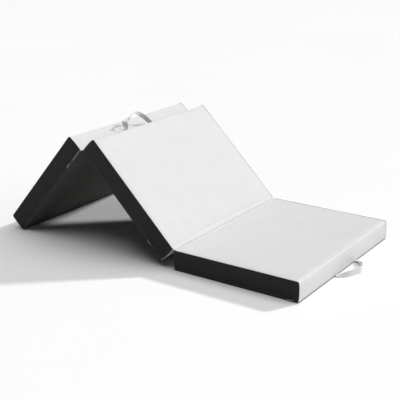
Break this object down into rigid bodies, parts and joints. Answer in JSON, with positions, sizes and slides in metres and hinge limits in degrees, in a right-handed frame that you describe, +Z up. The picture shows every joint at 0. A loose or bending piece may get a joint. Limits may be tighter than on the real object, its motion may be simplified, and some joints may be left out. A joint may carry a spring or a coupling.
{
  "type": "folding foam mattress",
  "caption": "Tri-fold foam guest mattress: three covered foam panels joined by fabric hinges, propped as a lounger, with webbing carry loops and zipped covers.",
  "frame": {"origin": "middle of the whole mattress as it stands at rest, on the floor", "axes": "+X along the mattress from the propping panel to the flat panel, +Y across its width, +Z up"},
  "size_m": [1.7156, 0.9066, 0.5823],
  "materials": {
    "foam": "open-cell polyurethane foam",
    "white_knit": "matte knitted polyester, lightly mottled",
    "charcoal_cloth": "matte woven polyester",
    "black_mesh": "matte spacer mesh",
    "zip_black": "nylon coil on woven tape",
    "zip_metal": "die-cast, lightly worn",
    "grey_webbing": "woven polyester webbing"
  },
  "bodies": {
    "panel_left": {"foam_core_left": "foam", "top_cover_left": "white_knit", "bottom_cover_left": "charcoal_cloth", "side_wall_near_left": "black_mesh", "side_wall_far_left": "black_mesh", "zip_strip_left": "zip_black", "handle_ends_left": "grey_webbing"},
    "panel_middle": {"foam_core_middle": "foam", "top_cover_middle": "white_knit", "bottom_cover_middle": "charcoal_cloth", "side_wall_near_middle": "black_mesh", "side_wall_far_middle": "black_mesh", "zip_strip_middle": "zip_black", "hinge_fabric_left": "charcoal_cloth"},
    "panel_right": {"foam_core_right": "foam", "top_cover_right": "white_knit", "bottom_cover_right": "charcoal_cloth", "side_wall_near_right": "black_mesh", "side_wall_far_right": "black_mesh", "zip_strip_right": "zip_black", "handle_ends_right": "grey_webbing", "hinge_fabric_right": "white_knit"},
    "handle_left": {"handle_strap_left": "grey_webbing"},
    "handle_right": {"handle_strap_right": "grey_webbing"},
    "slider_left": {"zip_slider_left": "zip_metal"},
    "pull_left": {"zip_pull_left": "zip_metal"},
    "slider_middle": {"zip_slider_middle": "zip_metal"},
    "pull_middle": {"zip_pull_middle": "zip_metal"},
    "slider_right": {"zip_slider_right": "zip_metal"},
    "pull_right": {"zip_pull_right": "zip_metal"}
  },
  "joints": [
    {"name": "fold_right", "type": "hinge", "parent": "panel_right", "child": "panel_middle", "pos_m": [0.14479, 0.00328, 0.097], "axis": [0, 1, 0], "range_deg": [-44.8, 135], "deforming": ["hinge_fabric_right"]},
    {"name": "fold_left", "type": "hinge", "parent": "panel_middle", "child": "panel_left", "pos_m": [-0.37502, 0.00328, 0.47492], "axis": [0, -1, 0], "range_deg": [-93.85, 86], "deforming": ["hinge_fabric_left"]},
    {"name": "handle_left_swing", "type": "hinge", "parent": "panel_left", "child": "handle_left", "pos_m": [-0.39164, 0.00328, 0.48934], "axis": [0, 1, 0], "range_deg": [-47, 43.1]},
    {"name": "handle_right_swing", "type": "hinge", "parent": "panel_right", "child": "handle_right", "pos_m": [0.77979, 0.00328, 0.005], "axis": [0, -1, 0], "range_deg": [0, 90]},
    {"name": "zip_left_slide", "type": "slide", "parent": "panel_left", "child": "slider_left", "axis": [-0.6554, 0, -0.7553], "range_m": [0, 0.47]},
    {"name": "zip_pull_left_swing", "type": "hinge", "parent": "slider_left", "child": "pull_left", "pos_m": [-0.45396, -0.45172, 0.39844], "axis": [-0.7553, 0, 0.6554], "range_deg": [0, 170]},
    {"name": "zip_middle_slide", "type": "slide", "parent": "panel_middle", "child": "slider_middle", "axis": [-0.7086, 0, 0.7056], "range_m": [0, 0.47]},
    {"name": "zip_pull_middle_swing", "type": "hinge", "parent": "slider_middle", "child": "pull_middle", "pos_m": [0.00405, -0.45172, 0.11085], "axis": [-0.7056, 0, -0.7086], "range_deg": [0, 170]},
    {"name": "zip_right_slide", "type": "slide", "parent": "panel_right", "child": "slider_right", "axis": [-1, 0, 0], "range_m": [0, 0.54]},
    {"name": "zip_pull_right_swing", "type": "hinge", "parent": "slider_right", "child": "pull_right", "pos_m": [0.74529, -0.45172, 0.0075], "axis": [0, 0, 1], "range_deg": [0, 170]}
  ],
  "couplings": [
    {"joint": "handle_left_swing", "follows": "fold_left", "ratio": 0.5}
  ]
}
